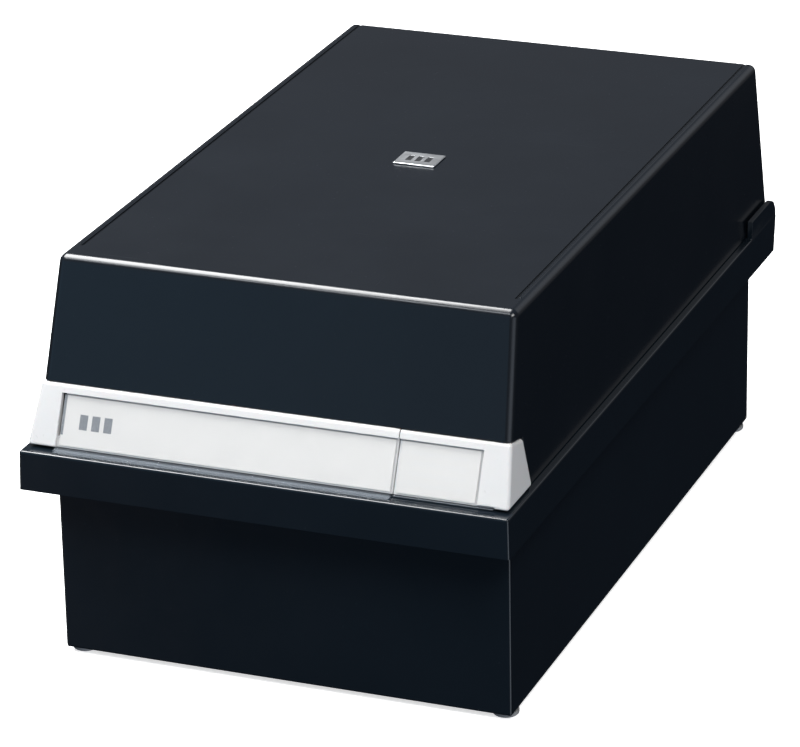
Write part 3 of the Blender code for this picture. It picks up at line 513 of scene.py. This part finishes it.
def build_all():
    """All the pieces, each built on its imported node."""
    black = black_plastic("black_gloss", TUB_BLACK, 0.12, 0.000006, 0.05)
    lid_black = black_plastic("black_lid", LID_BLACK, 0.19, 0.000010, 0.06)
    shoe_black = black_plastic("black_shoe", SHOE_BLACK, 0.38, 0.00003, 0.08)
    white = white_plastic()
    clear = clear_plastic()
    steel = metal("steel", STEEL, 0.24, 0.36, (60.0, 900.0, 900.0))
    coat = powder_coat()
    grey_rubber = rubber()

    refined("tub", "base_tub", MOULDED_EDGE, black, "base")
    low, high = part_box("lid_shell")
    half = high.x - (LID_HALF_DRAFT + GROOVE_INSET - BEAD_OUT)
    beads = [rod((side * half, low.y + GROOVE_FRONT_INSET, high.z - BEAD_SINK),
                 (side * half, high.y - GROOVE_REAR_INSET, high.z - BEAD_SINK), BEAD_RADIUS)
             for side in (-1, 1)]
    refined("lid", "lid_shell", MOULDED_EDGE, lid_black, "lid", added=beads)
    refined("band_long", "label_holder", TRIM_EDGE, white, "lid")
    refined("band_short", "end_holder", TRIM_EDGE, white, "lid")
    refined("cover_long", "label_window_long", SHEET_EDGE, clear, "lid")
    refined("cover_short", "label_window_short", SHEET_EDGE, clear, "lid")
    build_badge()
    refined("leaf_base", "hinge_base_leaf", SHEET_EDGE, steel, "base")
    refined("leaf_lid", "hinge_lid_leaf", SHEET_EDGE, steel, "lid")
    refined("pin", "hinge_pin", TRIM_EDGE, steel, "base")
    for number in (1, 2, 3):
        refined(f"rivet_base_{number}", f"base_rivet_{number}", SHEET_EDGE, steel, "base")
        refined(f"rivet_lid_{number}", f"lid_rivet_{number}", SHEET_EDGE, steel, "lid")
    for number in (1, 2):
        refined(f"screw_{number}", f"support_screw_{number}", SHEET_EDGE, steel, "support")
    refined("shoe", "support_shoe", TRIM_EDGE, shoe_black, "support")
    refined("support", "support_plate", MOULDED_EDGE, coat, "support")
    refined("spring", "friction_spring", SPRING_EDGE, steel, "support")
    for end in ("front", "rear"):
        for hand in ("left", "right"):
            refined(f"pad_{end}_{hand}", f"foot_{end}_{hand}", TRIM_EDGE, grey_rubber, "base")

    build_labels()


build_all()


# ------------------------------------------------------------------ stage
def build_floor():
    """A plain pale floor that glows a little and that the black plastics do not mirror."""
    bm = bmesh.new()
    bmesh.ops.create_grid(bm, x_segments=8, y_segments=8, size=FLOOR_SIZE / 2)
    mesh = from_bmesh("floor", bm)
    floor = link(bpy.data.objects.new("floor", mesh))
    material, nodes, shader = new_material("floor")
    shader.inputs["Base Color"].default_value = (*FLOOR_TONE, 1.0)
    shader.inputs["Roughness"].default_value = 0.9
    shader.inputs["Specular IOR Level"].default_value = 0.0
    shader.inputs["Emission Color"].default_value = (1.0, 1.0, 1.0, 1.0)
    shader.inputs["Emission Strength"].default_value = FLOOR_GLOW
    mesh.materials.append(material)
    floor.visible_glossy = False
    floor.visible_diffuse = False


def area_light(name, place, target, size, power, colour):
    """A soft rectangular light that points at target."""
    data = bpy.data.lights.new(name, "AREA")
    data.shape = "RECTANGLE"
    data.size, data.size_y = size
    data.energy = power
    data.color = colour
    lamp = link(bpy.data.objects.new(name, data))
    lamp.location = place
    lamp.rotation_euler = (Vector(target) - Vector(place)).to_track_quat("-Z", "Y").to_euler()


def build_world():
    """A dim studio: dark below, grey above, with brighter patches around the box."""
    world = bpy.data.worlds.new("studio")
    world.use_nodes = True
    bpy.context.scene.world = world
    nodes = Nodes(world.node_tree)
    way = nodes.add("TexCoord").outputs["Generated"]

    def facing(direction, low, high):
        along = nodes.add("VectorMath", {0: way, 1: direction}, operation="DOT_PRODUCT").outputs["Value"]
        return nodes.spread(along, low, high)

    tone = nodes.blend(facing((0.0, 0.0, 1.0), *WALL_RISE), WALL_LOW, WALL_HIGH)
    for direction, low, high, colour in WALL_PATCHES:
        tone = nodes.blend(facing(Vector(direction).normalized(), low, high), tone, colour)
    background = world.node_tree.nodes["Background"]
    world.node_tree.links.new(tone, background.inputs["Color"])


def build_camera():
    """The view from the box's right front and above."""
    azimuth, elevation, roll = CAMERA_AZIMUTH, CAMERA_ELEVATION, CAMERA_ROLL
    back = Vector((math.sin(azimuth) * math.cos(elevation), -math.cos(azimuth) * math.cos(elevation),
                   math.sin(elevation)))
    right = Vector((math.cos(azimuth), math.sin(azimuth), 0.0))
    up = back.cross(right)
    columns = (right * math.cos(roll) + up * math.sin(roll),
               up * math.cos(roll) - right * math.sin(roll), back)
    data = bpy.data.cameras.new("camera")
    data.lens = CAMERA_LENS
    data.sensor_width = CAMERA_SENSOR
    camera = link(bpy.data.objects.new("camera", data))
    camera.matrix_world = Matrix.Translation(CAMERA_PLACE) @ Matrix(columns).transposed().to_4x4()
    bpy.context.scene.camera = camera


build_floor()
build_world()
for light in LIGHTS:
    area_light(*light)
build_camera()
bpy.context.scene.view_settings.view_transform = "Standard"
